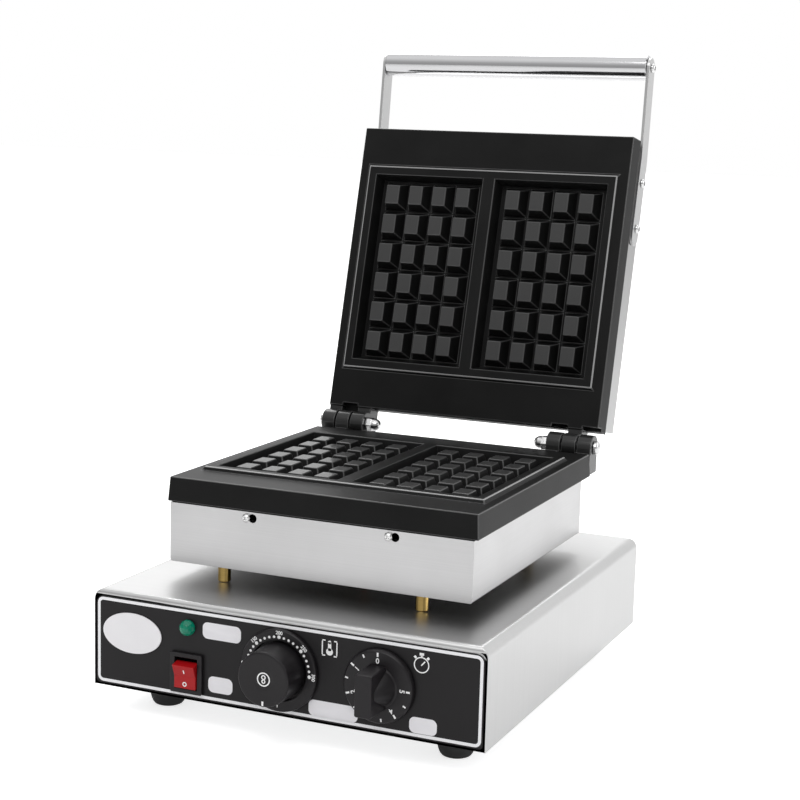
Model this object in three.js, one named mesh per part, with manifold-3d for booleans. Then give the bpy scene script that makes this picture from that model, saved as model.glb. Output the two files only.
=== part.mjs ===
// Twin rectangular waffle maker, standing with its lid open.
// Millimetres, +X to the machine's right, +Y to its back, +Z up.
// The origin is the bottom centre of the whole machine's box: floor level under the feet.
import * as THREE from 'three';
import { mergeVertices } from 'three/addons/utils/BufferGeometryUtils.js';
import Module from 'manifold-3d';

const wasm = await Module();
wasm.setup();

// ---- Driving dimensions -------------------------------------------------------------------

const GAP = 0.3; // clearance kept between neighbouring pieces
const SHEET = 1.2; // folded stainless sheet

const BASE_WIDTH = 320;
const BASE_DEPTH = 360;
const BASE_HEIGHT = 76; // from the base's underside to its top
const SIDE_BEND = 9; // radius of the long top edges
const FRONT_BEND = 4; // radius of the front and back top edges
const FOOT_HEIGHT = 22;
const FOOT_INSET_X = 39;
const FOOT_INSET_Y = 44.5;
const FOOT_RADIUS = 13;

const PANEL_TOP = 71.4; // top edge of the front and back panels
const OVERLAY_THICKNESS = 0.5;
const TEMPERATURE_AT = [-0.5, 35.9]; // dial centre on the front panel: X and height
const TIMER_AT = [79, 36.7];
const LAMP_AT = [-77.7, 56.3];
const SWITCH_AT = [-78.2, 21.3];
const BADGE_AT = [-126, 44.8];

const BOX_WIDTH = 252; // heater box under the lower plate
const BOX_FRONT = 53.5;
const BOX_DEPTH = 246.5;
const BOX_BOTTOM = 89;
const BOX_TOP = 135.6;
const PILLAR_X = 83;
const PILLAR_INSET = 9.5; // pillar centre behind the box's front face

const CAPILLARY_X = 10; // where the thermostat's tube rises out of the base
const CAPILLARY_Y = 120;
const CAPILLARY_HOLE = 4;

const AXIS_Y = 328; // hinge axis, behind the base's front face
const AXIS_Z = 158.2; // hinge axis, above the base's underside
const OPEN_ANGLE = 105; // degrees that the lid has turned from closed

const PLATE_LENGTH = 257.5;
const PLATE_WIDTH = 255.5; // at the cooking face
const PLATE_FLARE = 1.3; // the casting's sides widen by this towards its back
const PLATE_THICKNESS = 19.3;
const PLATE_END = -15; // hinge end of the casting, from the axis
const FACE_DROP = 3; // cooking face below the hinge axis when the machine is closed
const RIM_HEIGHT = 2.85;
const RIM_MARGIN = 7;
const RIM_DRAFT = 2;
const POCKET_INNER = 5.4; // pocket edges, from the centre line
const POCKET_OUTER = 110.7;
const POCKET_LENGTH = 171.8;
const POCKET_DEPTH = 14; // from the top of the rim
const POCKET_DRAFT = 3.4;
const PEG_COLUMNS = 4;
const PEG_ROWS = 6;
const PEG_PITCH = [22.85, 27.05];
const PEG_TOP = [12.6, 17];
const PEG_DRAFT = 4;
const PEG_DROP = 1.2; // peg tops below the rim
const PLATE_MIDDLE_Y = PLATE_END - PLATE_LENGTH / 2;
const RIM_TOP = RIM_HEIGHT - FACE_DROP; // from the hinge axis
const POCKET_FLOOR = RIM_TOP - POCKET_DEPTH;

const BARREL_RADIUS = 10.5;
const BARREL_WIDTH = 12.6;
const BARREL_PITCH = 14;
const HINGE_X = 107; // middle of each hinge, from the centre line
const LUG_OUTER = HINGE_X + BARREL_PITCH + BARREL_WIDTH / 2;
const LUG_INNER = HINGE_X - BARREL_PITCH - BARREL_WIDTH / 2;
const LUG_PAD_DROP = 11.6; // top of the pad that the lugs stand on, below the axis
const LUG_PAD_BACK = 8.5;
const BOLT_RADIUS = 3;
const BOLT_BORE = 3.4;

const COVER_WIDTH = 251;
const COVER_HEIGHT = 36;
const ARM_WIDTH = 18;
const ARM_THICKNESS = 2.5;
const ARM_LIFT = 41; // arm's middle line above the axis, lid closed
const ARM_START = 184; // arm's rounded end, from the axis
const ARM_BEND_AT = 262;
const ARM_BEND = 8; // degrees
const ARM_REACH = 80; // from the bend to the handle's centre
const HANDLE_RADIUS = 11;

// ---- Finishes -----------------------------------------------------------------------------

const finish = (color, roughness, metalness) =>
  new THREE.MeshStandardMaterial({ color, roughness, metalness });

const BRUSHED = [0xc9c9c7, 0.32, 1.0];
const CHROME = [0xe6e6e6, 0.1, 1.0];
const NONSTICK = [0x262626, 0.45, 0.2];
const BLACK_PLASTIC = [0x1d1b1e, 0.4, 0.0];
const BRASS = [0xb08a3c, 0.3, 1.0];
const ZINC = [0xa9adb0, 0.4, 0.9];
const COPPER = [0xb87333, 0.35, 1.0];
const ELEMENT = [0x6b6258, 0.5, 0.8];

// ---- Shape tools --------------------------------------------------------------------------

function toSolid(geometry) {
  const plain = geometry.clone();
  plain.deleteAttribute('normal');
  plain.deleteAttribute('uv');
  const merged = mergeVertices(plain, 1e-4);
  const vertProperties = new Float32Array(merged.attributes.position.array);
  const triVerts = new Uint32Array(merged.index.array);
  return new wasm.Manifold(new wasm.Mesh({ numProp: 3, vertProperties, triVerts }));
}

function toGeometry(manifold) {
  const mesh = manifold.getMesh();
  const geometry = new THREE.BufferGeometry();
  geometry.setAttribute('position', new THREE.BufferAttribute(mesh.vertProperties, 3));
  geometry.setIndex(new THREE.BufferAttribute(mesh.triVerts, 1));
  return geometry;
}

function join(...pieces) {
  return toGeometry(pieces.map(toSolid).reduce((whole, piece) => whole.add(piece)));
}

function cut(body, ...tools) {
  return toGeometry(tools.map(toSolid).reduce((rest, tool) => rest.subtract(tool), toSolid(body)));
}

function common(a, b) {
  return toGeometry(toSolid(a).intersect(toSolid(b)));
}

function block(x0, x1, y0, y1, z0, z1) {
  const box = new THREE.BoxGeometry(x1 - x0, y1 - y0, z1 - z0);
  return box.translate((x0 + x1) / 2, (y0 + y1) / 2, (z0 + z1) / 2);
}

// A block whose lower rectangle is larger than its upper one by `flare` on every side.
function taperedBlock(x0, x1, y0, y1, z0, z1, flare) {
  const box = block(x0, x1, y0, y1, z0, z1);
  const points = box.attributes.position;
  const middleX = (x0 + x1) / 2;
  const middleY = (y0 + y1) / 2;
  const middleZ = (z0 + z1) / 2;
  for (let i = 0; i < points.count; i += 1) {
    if (points.getZ(i) > middleZ) continue;
    points.setX(i, points.getX(i) + Math.sign(points.getX(i) - middleX) * flare);
    points.setY(i, points.getY(i) + Math.sign(points.getY(i) - middleY) * flare);
  }
  return box;
}

function rodX(radius, x0, x1, y = 0, z = 0, sides = 20) {
  const rod = new THREE.CylinderGeometry(radius, radius, x1 - x0, sides);
  return rod.rotateZ(Math.PI / 2).translate((x0 + x1) / 2, y, z);
}

function rodY(radius, y0, y1, x = 0, z = 0, sides = 16) {
  const rod = new THREE.CylinderGeometry(radius, radius, y1 - y0, sides);
  return rod.translate(x, (y0 + y1) / 2, z);
}

function rodZ(radius, z0, z1, x = 0, y = 0, sides = 24) {
  const rod = new THREE.CylinderGeometry(radius, radius, z1 - z0, sides);
  return rod.rotateX(Math.PI / 2).translate(x, y, (z0 + z1) / 2);
}

// Turned pieces: profile points are [radius, height]; +height becomes the named direction.
function turned(profile, sides = 28) {
  const points = profile.map(([radius, height]) => new THREE.Vector2(radius, height));
  return new THREE.LatheGeometry(points, sides);
}

const turnedTowardsFront = (profile, sides) => turned(profile, sides).rotateX(Math.PI);
const turnedUp = (profile, sides) => turned(profile, sides).rotateX(Math.PI / 2);
const turnedAlongX = (profile, sides) => turned(profile, sides).rotateZ(-Math.PI / 2);

function roundedRectangle(x0, x1, y0, y1, lower, upper = lower) {
  const shape = new THREE.Shape();
  shape.moveTo(x0 + lower, y0);
  shape.lineTo(x1 - lower, y0);
  shape.absarc(x1 - lower, y0 + lower, lower, -Math.PI / 2, 0, false);
  shape.lineTo(x1, y1 - upper);
  shape.absarc(x1 - upper, y1 - upper, upper, 0, Math.PI / 2, false);
  shape.lineTo(x0 + upper, y1);
  shape.absarc(x0 + upper, y1 - upper, upper, Math.PI / 2, Math.PI, false);
  shape.lineTo(x0, y0 + lower);
  shape.absarc(x0 + lower, y0 + lower, lower, Math.PI, 1.5 * Math.PI, false);
  return shape;
}

// A shape drawn in X and Z (seen from the front), standing from y0 to y1.
function frontProfile(shape, y0, y1, curveSegments = 4) {
  const body = new THREE.ExtrudeGeometry(shape, { depth: y1 - y0, bevelEnabled: false, curveSegments });
  return body.rotateX(Math.PI / 2).translate(0, y1, 0);
}

// A shape drawn in Y and Z (seen from the right), standing from x0 to x1.
function sideProfile(shape, x0, x1, curveSegments = 6) {
  const body = new THREE.ExtrudeGeometry(shape, { depth: x1 - x0, bevelEnabled: false, curveSegments });
  return body.rotateY(Math.PI / 2).rotateX(Math.PI / 2).translate(x0, 0, 0);
}

function addPart(parent, name, geometry, look) {
  const mesh = new THREE.Mesh(geometry, finish(...look));
  mesh.name = name;
  parent.add(mesh);
  return mesh;
}

// ---- Assembly groups ----------------------------------------------------------------------

const waffleMaker = new THREE.Group();
const base = new THREE.Group(); // origin: middle of the base's front lower edge
const lowerHinge = new THREE.Group(); // origin: middle of the hinge axis
const lid = new THREE.Group(); // the same axis, turned open
lowerHinge.position.set(0, AXIS_Y, AXIS_Z);
lid.position.copy(lowerHinge.position);
lid.rotation.x = -THREE.MathUtils.degToRad(OPEN_ANGLE);
base.add(lowerHinge, lid);
waffleMaker.add(base);

// ---- Base housing -------------------------------------------------------------------------

function baseEnvelope(inset) {
  const half = BASE_WIDTH / 2 - inset;
  const top = BASE_HEIGHT - inset;
  const below = -20;
  const across = roundedRectangle(-half, half, below, top, 1, SIDE_BEND - inset);
  const along = roundedRectangle(inset, BASE_DEPTH - inset, below, top, 1, FRONT_BEND - inset);
  return common(frontProfile(across, -5, BASE_DEPTH + 5), sideProfile(along, -200, 200));
}

function makeTopCover() {
  const shell = cut(baseEnvelope(0), baseEnvelope(SHEET));
  const inside = BASE_WIDTH / 2 - SHEET;
  const window = frontProfile(
    roundedRectangle(-inside, inside, -30, PANEL_TOP + GAP, 1, SIDE_BEND - SHEET), -5, BASE_DEPTH + 5);
  const underside = block(-200, 200, -10, BASE_DEPTH + 10, -40, 0);
  const pillarHoles = pillarPlaces().map(([x, y]) => rodZ(2.6, 60, 90, x, y, 12));
  const tubeHole = rodZ(CAPILLARY_HOLE, 60, 90, CAPILLARY_X, CAPILLARY_Y, 12);
  return cut(shell, window, underside, ...pillarHoles, tubeHole);
}

function pillarPlaces() {
  const ys = [BOX_FRONT + PILLAR_INSET, BOX_FRONT + BOX_DEPTH - PILLAR_INSET];
  return ys.flatMap((y) => [[-PILLAR_X, y], [PILLAR_X, y]]);
}

function panelOutline(inset, upper) {
  const half = BASE_WIDTH / 2 - SHEET - GAP - inset;
  return roundedRectangle(-half, half, SHEET + GAP + 0.1 + inset, PANEL_TOP - inset, 3, upper);
}

// Holes through the front panel and its overlay for everything mounted on it.
function panelHoles(y0, y1) {
  const [switchX, switchZ] = SWITCH_AT;
  return [
    rodY(4.4, y0, y1, ...LAMP_AT),
    rodY(4.4, y0, y1, ...TEMPERATURE_AT),
    rodY(4.4, y0, y1, ...TIMER_AT),
    block(switchX - 11.4, switchX + 11.4, y0, y1, switchZ - 13.4, switchZ + 13.4),
  ];
}

const PANEL_FRONT = 0.6;
const PANEL_BACK = PANEL_FRONT + SHEET;
const OVERLAY_BACK = PANEL_FRONT - GAP;
const OVERLAY_FRONT = OVERLAY_BACK - OVERLAY_THICKNESS;
const MOUNT_FACE = OVERLAY_FRONT - GAP; // where controls rest on the overlay

addPart(base, 'base_top_cover', makeTopCover(), BRUSHED);
addPart(base, 'base_front_panel',
  cut(frontProfile(panelOutline(0, 7.6), PANEL_FRONT, PANEL_BACK), ...panelHoles(-5, 5)), BRUSHED);
addPart(base, 'control_overlay',
  cut(frontProfile(panelOutline(0.6, 7), OVERLAY_FRONT, OVERLAY_BACK), ...panelHoles(-5, 5)),
  [0x262426, 0.3, 0.0]);

const REAR_FACE = BASE_DEPTH - PANEL_FRONT;
const GLAND_AT = [-108, 30];
addPart(base, 'base_rear_panel',
  cut(frontProfile(panelOutline(0, 7.6), REAR_FACE - SHEET, REAR_FACE),
    rodY(8.4, REAR_FACE - 5, REAR_FACE + 5, ...GLAND_AT)), BRUSHED);

function makeBottomPlate() {
  const half = BASE_WIDTH / 2 - SHEET - GAP;
  const slots = [];
  for (let i = -4; i <= 4; i += 1) {
    slots.push(block(i * 14 - 2.5, i * 14 + 2.5, 150, 210, -5, 5));
  }
  return cut(block(-half, half, PANEL_BACK + GAP, BASE_DEPTH - PANEL_BACK - GAP, 0, SHEET), ...slots);
}

addPart(base, 'base_bottom_plate', makeBottomPlate(), ZINC);

const footProfile = [[0, 0], [0.5, 0], [0.67, 0.1], [0.84, 0.26], [0.94, 0.45], [1, 0.7], [1, 1], [0, 1]]
  .map(([across, up]) => [across * FOOT_RADIUS, up * (FOOT_HEIGHT - GAP)]);
for (const [endName, y] of [['front', FOOT_INSET_Y], ['back', BASE_DEPTH - FOOT_INSET_Y]]) {
  for (const [sideName, side] of [['left', -1], ['right', 1]]) {
    const foot = addPart(base, `foot_${endName}_${sideName}`, turnedUp(footProfile, 20), [0x151515, 0.8, 0]);
    foot.position.set(side * (BASE_WIDTH / 2 - FOOT_INSET_X), y, -FOOT_HEIGHT);
  }
}

// ---- Front controls -----------------------------------------------------------------------

function makeBadge() {
  const outline = new THREE.Shape();
  outline.absellipse(0, 0, 25.5, 15.6, 0, 2 * Math.PI, false, 0);
  return frontProfile(outline, MOUNT_FACE - 0.8, MOUNT_FACE, 16);
}
addPart(base, 'badge_plate', makeBadge(), [0xe4e4e6, 0.35, 0]).position.set(BADGE_AT[0], 0, BADGE_AT[1]);

const lampLens = addPart(base, 'pilot_lamp_lens',
  turnedTowardsFront([[0, 0], [6.2, 0], [6.2, 2.2], [5.6, 4.4], [4.0, 6.2], [1.8, 7.2], [0, 7.4]], 16),
  [0x1f8a5c, 0.15, 0]);
lampLens.position.set(LAMP_AT[0], MOUNT_FACE, LAMP_AT[1]);
const lampBody = addPart(base, 'pilot_lamp_body',
  turnedTowardsFront([[0, -24], [4.0, -24], [4.0, -3.2], [3.9, -3.2], [3.9, -GAP], [0, -GAP]], 12),
  [0xd8d8d2, 0.5, 0]);
lampBody.position.copy(lampLens.position);

function makeSwitchBody() {
  const bezel = frontProfile(roundedRectangle(-13.5, 13.5, -15.4, 15.4, 1.5), MOUNT_FACE - 2.6, MOUNT_FACE);
  const body = block(-11, 11, MOUNT_FACE - 0.1, 26, -13, 13);
  const well = block(-9.6, 9.6, MOUNT_FACE - 5, 15, -12, 12);
  return cut(join(bezel, body), well);
}
const SWITCH_PIVOT_Y = 5;
const ROCKER_FACE = 9.6; // pivot to the middle of the rocker's face
const ROCKER_TILT = 11; // degrees of each face from the middle
const switchBody = addPart(base, 'power_switch_body', makeSwitchBody(), BLACK_PLASTIC);
switchBody.position.set(SWITCH_AT[0], 0, SWITCH_AT[1]);

// The rocker rests with its lower half pressed in (off).
function makeRocker() {
  const slope = Math.tan(THREE.MathUtils.degToRad(ROCKER_TILT));
  const halfHeight = 9.4;
  const outline = new THREE.Shape();
  outline.moveTo(-ROCKER_FACE, 0);
  outline.lineTo(-ROCKER_FACE - halfHeight * slope, halfHeight);
  outline.lineTo(-3, halfHeight);
  outline.lineTo(3, 4);
  outline.lineTo(3, -4);
  outline.lineTo(-3, -halfHeight);
  outline.lineTo(-ROCKER_FACE - halfHeight * slope, -halfHeight);
  outline.lineTo(-ROCKER_FACE, 0);
  return sideProfile(outline, -9.1, 9.1);
}
const rocker = addPart(base, 'power_switch_rocker', makeRocker(), [0xb3161c, 0.25, 0]);
rocker.position.set(SWITCH_AT[0], SWITCH_PIVOT_Y, SWITCH_AT[1]);
rocker.rotation.x = THREE.MathUtils.degToRad(ROCKER_TILT);

const SCALE_RADIUS = 31;
const scaleRing = addPart(base, 'temperature_scale_ring',
  turnedTowardsFront([[22.8, 0], [SCALE_RADIUS, 0], [SCALE_RADIUS, 1.6], [SCALE_RADIUS - 1.6, 3.4],
    [22.8, 4.2], [22.8, 0]], 36), BLACK_PLASTIC);
scaleRing.position.set(TEMPERATURE_AT[0], MOUNT_FACE, TEMPERATURE_AT[1]);

const SHAFT_RADIUS = 3;
function makeTemperatureKnob() {
  const outside = turnedTowardsFront([[0, 0.6], [21, 0.6], [20.6, 20], [20.4, 26], [19.4, 27],
    [6.2, 26.6], [5.4, 25.9], [0, 25.9]], 32);
  return cut(outside, rodY(SHAFT_RADIUS + GAP, -16, 5, 0, 0, 12));
}
const temperatureKnob = addPart(base, 'temperature_knob', makeTemperatureKnob(), BLACK_PLASTIC);
temperatureKnob.position.copy(scaleRing.position);

const TIMER_SKIRT = 27.3;
function makeTimerKnob() {
  const skirt = turnedTowardsFront([[0, 0.6], [TIMER_SKIRT, 0.6], [TIMER_SKIRT, 3], [TIMER_SKIRT - 1.4, 5.4],
    [0, 6.4]], 36);
  const grip = taperedBlock(-6.4, 6.4, -15.4, 15.4, 0, 24, 0.6).rotateX(Math.PI / 2).translate(0, -5.6, 0);
  const hub = turnedTowardsFront([[0, 5], [15, 5], [6.3, 26], [0, 26]], 28);
  return cut(join(skirt, grip, hub), rodY(SHAFT_RADIUS + GAP, -16, 5, 0, 0, 12));
}
const timerKnob = addPart(base, 'timer_knob', makeTimerKnob(), BLACK_PLASTIC);
timerKnob.position.set(TIMER_AT[0], MOUNT_FACE, TIMER_AT[1]);

// Each shaft turns in its switchgear behind the panel and carries its knob.
const SHAFT_FRONT = -15;
const SHAFT_BACK = 12;
const CASE_FRONT = PANEL_BACK + GAP;
for (const [name, at] of [['thermostat_shaft', TEMPERATURE_AT], ['timer_shaft', TIMER_AT]]) {
  addPart(base, name, rodY(SHAFT_RADIUS, SHAFT_FRONT, SHAFT_BACK, at[0], at[1], 12), CHROME);
}
addPart(base, 'thermostat_body',
  cut(block(-21, 21, CASE_FRONT, CASE_FRONT + 30, 16, 58),
    rodY(SHAFT_RADIUS + GAP, -5, SHAFT_BACK + GAP, ...TEMPERATURE_AT, 12)), [0xcfc9b8, 0.5, 0]);
addPart(base, 'timer_body',
  cut(rodY(25, CASE_FRONT, CASE_FRONT + 36, ...TIMER_AT, 24),
    rodY(SHAFT_RADIUS + GAP, -5, SHAFT_BACK + GAP, ...TIMER_AT, 12)), ZINC);

addPart(base, 'terminal_block', block(-132, -84, 290, 312, SHEET + GAP, 22), [0xe2ddd0, 0.5, 0]);
addPart(base, 'cable_gland',
  cut(turnedTowardsFront([[0, -16], [7, -16], [9.4, -12], [9.4, -7], [12, -7], [12, -GAP], [8, -GAP],
    [8, 12], [0, 12]], 16), rodY(4.2, -30, 30, 0, 0, 12)), BLACK_PLASTIC)
  .position.set(GLAND_AT[0], REAR_FACE, GLAND_AT[1]);

// ---- Heater box on its pillars ------------------------------------------------------------

const PILLAR_RADIUS = 5;
const pillarBottom = BASE_HEIGHT + GAP;
const pillarTop = BOX_BOTTOM - GAP;
const pillarNames = ['front_left', 'front_right', 'back_left', 'back_right'];
pillarPlaces().forEach(([x, y], i) => {
  const height = pillarTop - pillarBottom;
  const pillar = turnedUp([[0, 0], [PILLAR_RADIUS - 0.8, 0], [PILLAR_RADIUS, 0.8],
    [PILLAR_RADIUS, height - 0.8], [PILLAR_RADIUS - 0.8, height], [0, height]], 16);
  const bore = rodZ(2.2, height - 7, height + 1, 0, 0, 12);
  addPart(base, `pillar_${pillarNames[i]}`, cut(pillar, bore), BRASS).position.set(x, y, pillarBottom);
  const screw = turnedUp([[0, -7], [1.9, -7], [1.9, GAP + 1], [1.9, 1.3], [4, 1.3], [3.4, 3.4], [0, 4]], 10);
  addPart(base, `pillar_screw_${pillarNames[i]}`, screw, CHROME).position.set(x, y, BOX_BOTTOM + GAP);
});

const SCREW_X = 59;
const SCREW_Z = 130.8;
function makeHeaterBox() {
  const half = BOX_WIDTH / 2;
  const back = BOX_FRONT + BOX_DEPTH;
  const outline = roundedRectangle(-half, half, BOX_BOTTOM, BOX_TOP + 10, 2, 1);
  const inline = roundedRectangle(-half + 1, half - 1, BOX_BOTTOM + 1, BOX_TOP + 12, 1, 1);
  const outside = frontProfile(outline, BOX_FRONT, back, 3);
  const inside = frontProfile(inline, BOX_FRONT + 1, back - 1, 3);
  const above = block(-200, 200, 0, 400, BOX_TOP, 200);
  const slots = [-SCREW_X, SCREW_X].map((x) => join(
    rodY(2.6, 40, 60, x, SCREW_Z, 12), rodY(3.4, 40, 60, x + 5, SCREW_Z, 12)));
  const holes = pillarPlaces().map(([x, y]) => rodZ(2.4, 80, 95, x, y, 12));
  const tubeHole = rodZ(CAPILLARY_HOLE, 80, 95, CAPILLARY_X, CAPILLARY_Y, 12);
  return cut(outside, inside, above, ...slots, ...holes, tubeHole);
}
addPart(base, 'heater_box', makeHeaterBox(), BRUSHED);

const panHead = [[0, 0], [3.4, 0], [3.4, 0.9], [2.6, 2.0], [0, 2.4]];
for (const [sideName, side] of [['left', -1], ['right', 1]]) {
  const head = turnedTowardsFront(panHead, 12);
  const shank = rodY(1.8, -0.1, 9, 0, 0, 8);
  addPart(base, `heater_box_screw_${sideName}`, join(head, shank), CHROME)
    .position.set(side * SCREW_X, BOX_FRONT - GAP, SCREW_Z);
}

// ---- Cooking plates: one casting, used twice ----------------------------------------------

function barrel(x) {
  const from = x - BARREL_WIDTH / 2;
  const to = x + BARREL_WIDTH / 2;
  const web = block(from, to, PLATE_END - 1, LUG_PAD_BACK, -PLATE_THICKNESS - FACE_DROP, -4);
  const foot = block(from, to, -BARREL_RADIUS, LUG_PAD_BACK, -LUG_PAD_DROP - 1, 0);
  return [web, foot, rodX(BARREL_RADIUS, from, to)];
}

function pegBlocks(side) {
  const middleX = side * (POCKET_INNER + POCKET_OUTER) / 2;
  const pegs = [];
  for (let column = 0; column < PEG_COLUMNS; column += 1) {
    for (let row = 0; row < PEG_ROWS; row += 1) {
      const x = middleX + (column - (PEG_COLUMNS - 1) / 2) * PEG_PITCH[0];
      const y = PLATE_MIDDLE_Y + (row - (PEG_ROWS - 1) / 2) * PEG_PITCH[1];
      const [halfX, halfY] = PEG_TOP.map((size) => size / 2);
      pegs.push(taperedBlock(x - halfX, x + halfX, y - halfY, y + halfY,
        POCKET_FLOOR - 0.5, RIM_TOP - PEG_DROP, PEG_DRAFT));
    }
  }
  return pegs;
}

function pocket(side) {
  const inner = side * POCKET_INNER;
  const outer = side * POCKET_OUTER;
  const [x0, x1] = [Math.min(inner, outer), Math.max(inner, outer)];
  const y0 = PLATE_MIDDLE_Y - POCKET_LENGTH / 2;
  const y1 = PLATE_MIDDLE_Y + POCKET_LENGTH / 2;
  return taperedBlock(x0, x1, y0, y1, POCKET_FLOOR, RIM_TOP + 2, -POCKET_DRAFT);
}

// The casting lies face up with the hinge axis through its origin, its lugs set for the lower
// position: one lug in the middle of the left hinge, two round the middle of the right one.
function makeCookingPlate() {
  const half = PLATE_WIDTH / 2;
  const front = PLATE_END - PLATE_LENGTH;
  const bottom = -FACE_DROP - PLATE_THICKNESS;
  const rimX = POCKET_OUTER + RIM_MARGIN;
  const rimY = POCKET_LENGTH / 2 + RIM_MARGIN;
  const slab = taperedBlock(-half, half, front, PLATE_END, bottom, -FACE_DROP, PLATE_FLARE);
  const rim = taperedBlock(-rimX, rimX, PLATE_MIDDLE_Y - rimY, PLATE_MIDDLE_Y + rimY,
    -FACE_DROP - 0.5, RIM_TOP, RIM_DRAFT);
  // The two right lugs stand on one pad, which stops the other casting's lug when the lid is open.
  const pad = block(LUG_INNER, LUG_OUTER, PLATE_END - 2, LUG_PAD_BACK, bottom, -LUG_PAD_DROP);
  const lugs = [-HINGE_X, HINGE_X - BARREL_PITCH, HINGE_X + BARREL_PITCH].flatMap(barrel);
  const bores = [-1, 1].map((side) => rodX(BOLT_BORE, side * HINGE_X - 25, side * HINGE_X + 25, 0, 0, 16));
  // Notches that let the other casting's lugs pass.
  const notches = [HINGE_X, -HINGE_X - BARREL_PITCH, -HINGE_X + BARREL_PITCH].map((x) => block(
    x - BARREL_PITCH / 2 - GAP, x + BARREL_PITCH / 2 + GAP, PLATE_END - 2.5, PLATE_END + 3, -LUG_PAD_DROP, 5));
  const body = join(slab, rim, pad, ...lugs);
  const hollowed = cut(body, pocket(-1), pocket(1), ...bores, ...notches);
  return join(hollowed, ...pegBlocks(-1), ...pegBlocks(1));
}

const plateGeometry = makeCookingPlate();
addPart(lowerHinge, 'lower_plate', plateGeometry, NONSTICK);
const upperPlate = addPart(lid, 'upper_plate', plateGeometry.clone(), NONSTICK);
upperPlate.rotation.y = Math.PI;

// ---- Heating elements and shields ---------------------------------------------------------

// A tubular element bent into a letter M, lying flat against the back of its plate.
function makeElement() {
  const reachX = 88;
  const front = PLATE_MIDDLE_Y - 88;
  const back = PLATE_MIDDLE_Y + 88;
  const bend = 22;
  const path = new THREE.CurvePath();
  const at = (x, y) => new THREE.Vector3(x, y, 0);
  const corners = [at(-reachX, back), at(-reachX, front), at(-reachX / 3, front), at(-reachX / 3, back - 30),
    at(reachX / 3, back - 30), at(reachX / 3, front), at(reachX, front), at(reachX, back)];
  let last = corners[0];
  for (let i = 1; i < corners.length - 1; i += 1) {
    const towards = corners[i - 1].clone().sub(corners[i]).setLength(bend).add(corners[i]);
    const away = corners[i + 1].clone().sub(corners[i]).setLength(bend).add(corners[i]);
    path.add(new THREE.LineCurve3(last, towards));
    path.add(new THREE.QuadraticBezierCurve3(towards, corners[i], away));
    last = away;
  }
  path.add(new THREE.LineCurve3(last, corners[corners.length - 1]));
  const section = new THREE.Shape();
  section.absarc(0, 0, 3.6, 0, 2 * Math.PI, false);
  const tube = new THREE.ExtrudeGeometry(section,
    { steps: 44, curveSegments: 4, bevelEnabled: false, extrudePath: path });
  return tube.translate(0, 0, -FACE_DROP - PLATE_THICKNESS - GAP - 3.7);
}

const SHIELD_DROP = 9; // shield's rim below the back of its plate
const SHIELD_HEIGHT = 6;
function makeShield(width, front, back) {
  const top = -FACE_DROP - PLATE_THICKNESS - SHIELD_DROP;
  const bottom = top - SHIELD_HEIGHT;
  const pan = taperedBlock(-width / 2, width / 2, front, back, bottom, top, -3);
  const hollow = taperedBlock(-width / 2 + 1, width / 2 - 1, front + 1, back - 1, bottom + 1, top + 1, -3);
  const tubeHole = rodZ(CAPILLARY_HOLE, bottom - 5, bottom + 5, CAPILLARY_X, CAPILLARY_Y - AXIS_Y, 12);
  return cut(pan, hollow, tubeHole);
}

const elementGeometry = makeElement();
addPart(lowerHinge, 'lower_heating_element', elementGeometry, ELEMENT);
addPart(lid, 'upper_heating_element', elementGeometry.clone(), ELEMENT).rotation.y = Math.PI;
addPart(lowerHinge, 'lower_heat_shield', makeShield(236, -266, -40), ZINC);
addPart(lid, 'upper_heat_shield', makeShield(236, -258, -28), ZINC).rotation.y = Math.PI;

// The thermostat's bulb lies under the lower plate between the element's runs.
const BULB_RADIUS = 2.4;
const BULB_HALF = 18;
const BULB_DROP = FACE_DROP + PLATE_THICKNESS + GAP + BULB_RADIUS;
addPart(lowerHinge, 'thermostat_bulb',
  rodX(BULB_RADIUS, -BULB_HALF, BULB_HALF, PLATE_MIDDLE_Y, -BULB_DROP, 12), COPPER);

// Its capillary comes out of the back of the thermostat and up through the base and heater box.
function makeCapillary() {
  const bulbZ = AXIS_Z - BULB_DROP;
  const bulbY = AXIS_Y + PLATE_MIDDLE_Y;
  const route = new THREE.CatmullRomCurve3([
    new THREE.Vector3(0, CASE_FRONT + 30 + GAP, 50),
    new THREE.Vector3(1, 50, 50),
    new THREE.Vector3(CAPILLARY_X - 3, 90, 52),
    new THREE.Vector3(CAPILLARY_X, CAPILLARY_Y - 2, 64),
    new THREE.Vector3(CAPILLARY_X, CAPILLARY_Y, 82),
    new THREE.Vector3(CAPILLARY_X, CAPILLARY_Y, 118),
    new THREE.Vector3(CAPILLARY_X + 2, CAPILLARY_Y + 6, bulbZ - 5),
    new THREE.Vector3(BULB_HALF + 3, bulbY - 22, bulbZ - 1),
    new THREE.Vector3(BULB_HALF + 4, bulbY - 5, bulbZ),
    new THREE.Vector3(BULB_HALF + 1, bulbY, bulbZ),
  ]);
  const section = new THREE.Shape();
  section.absarc(0, 0, 1.1, 0, 2 * Math.PI, false);
  return new THREE.ExtrudeGeometry(section,
    { steps: 44, curveSegments: 3, bevelEnabled: false, extrudePath: route });
}
addPart(base, 'thermostat_capillary', makeCapillary(), COPPER);

// ---- Hinge bolts and dome nuts ------------------------------------------------------------

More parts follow.
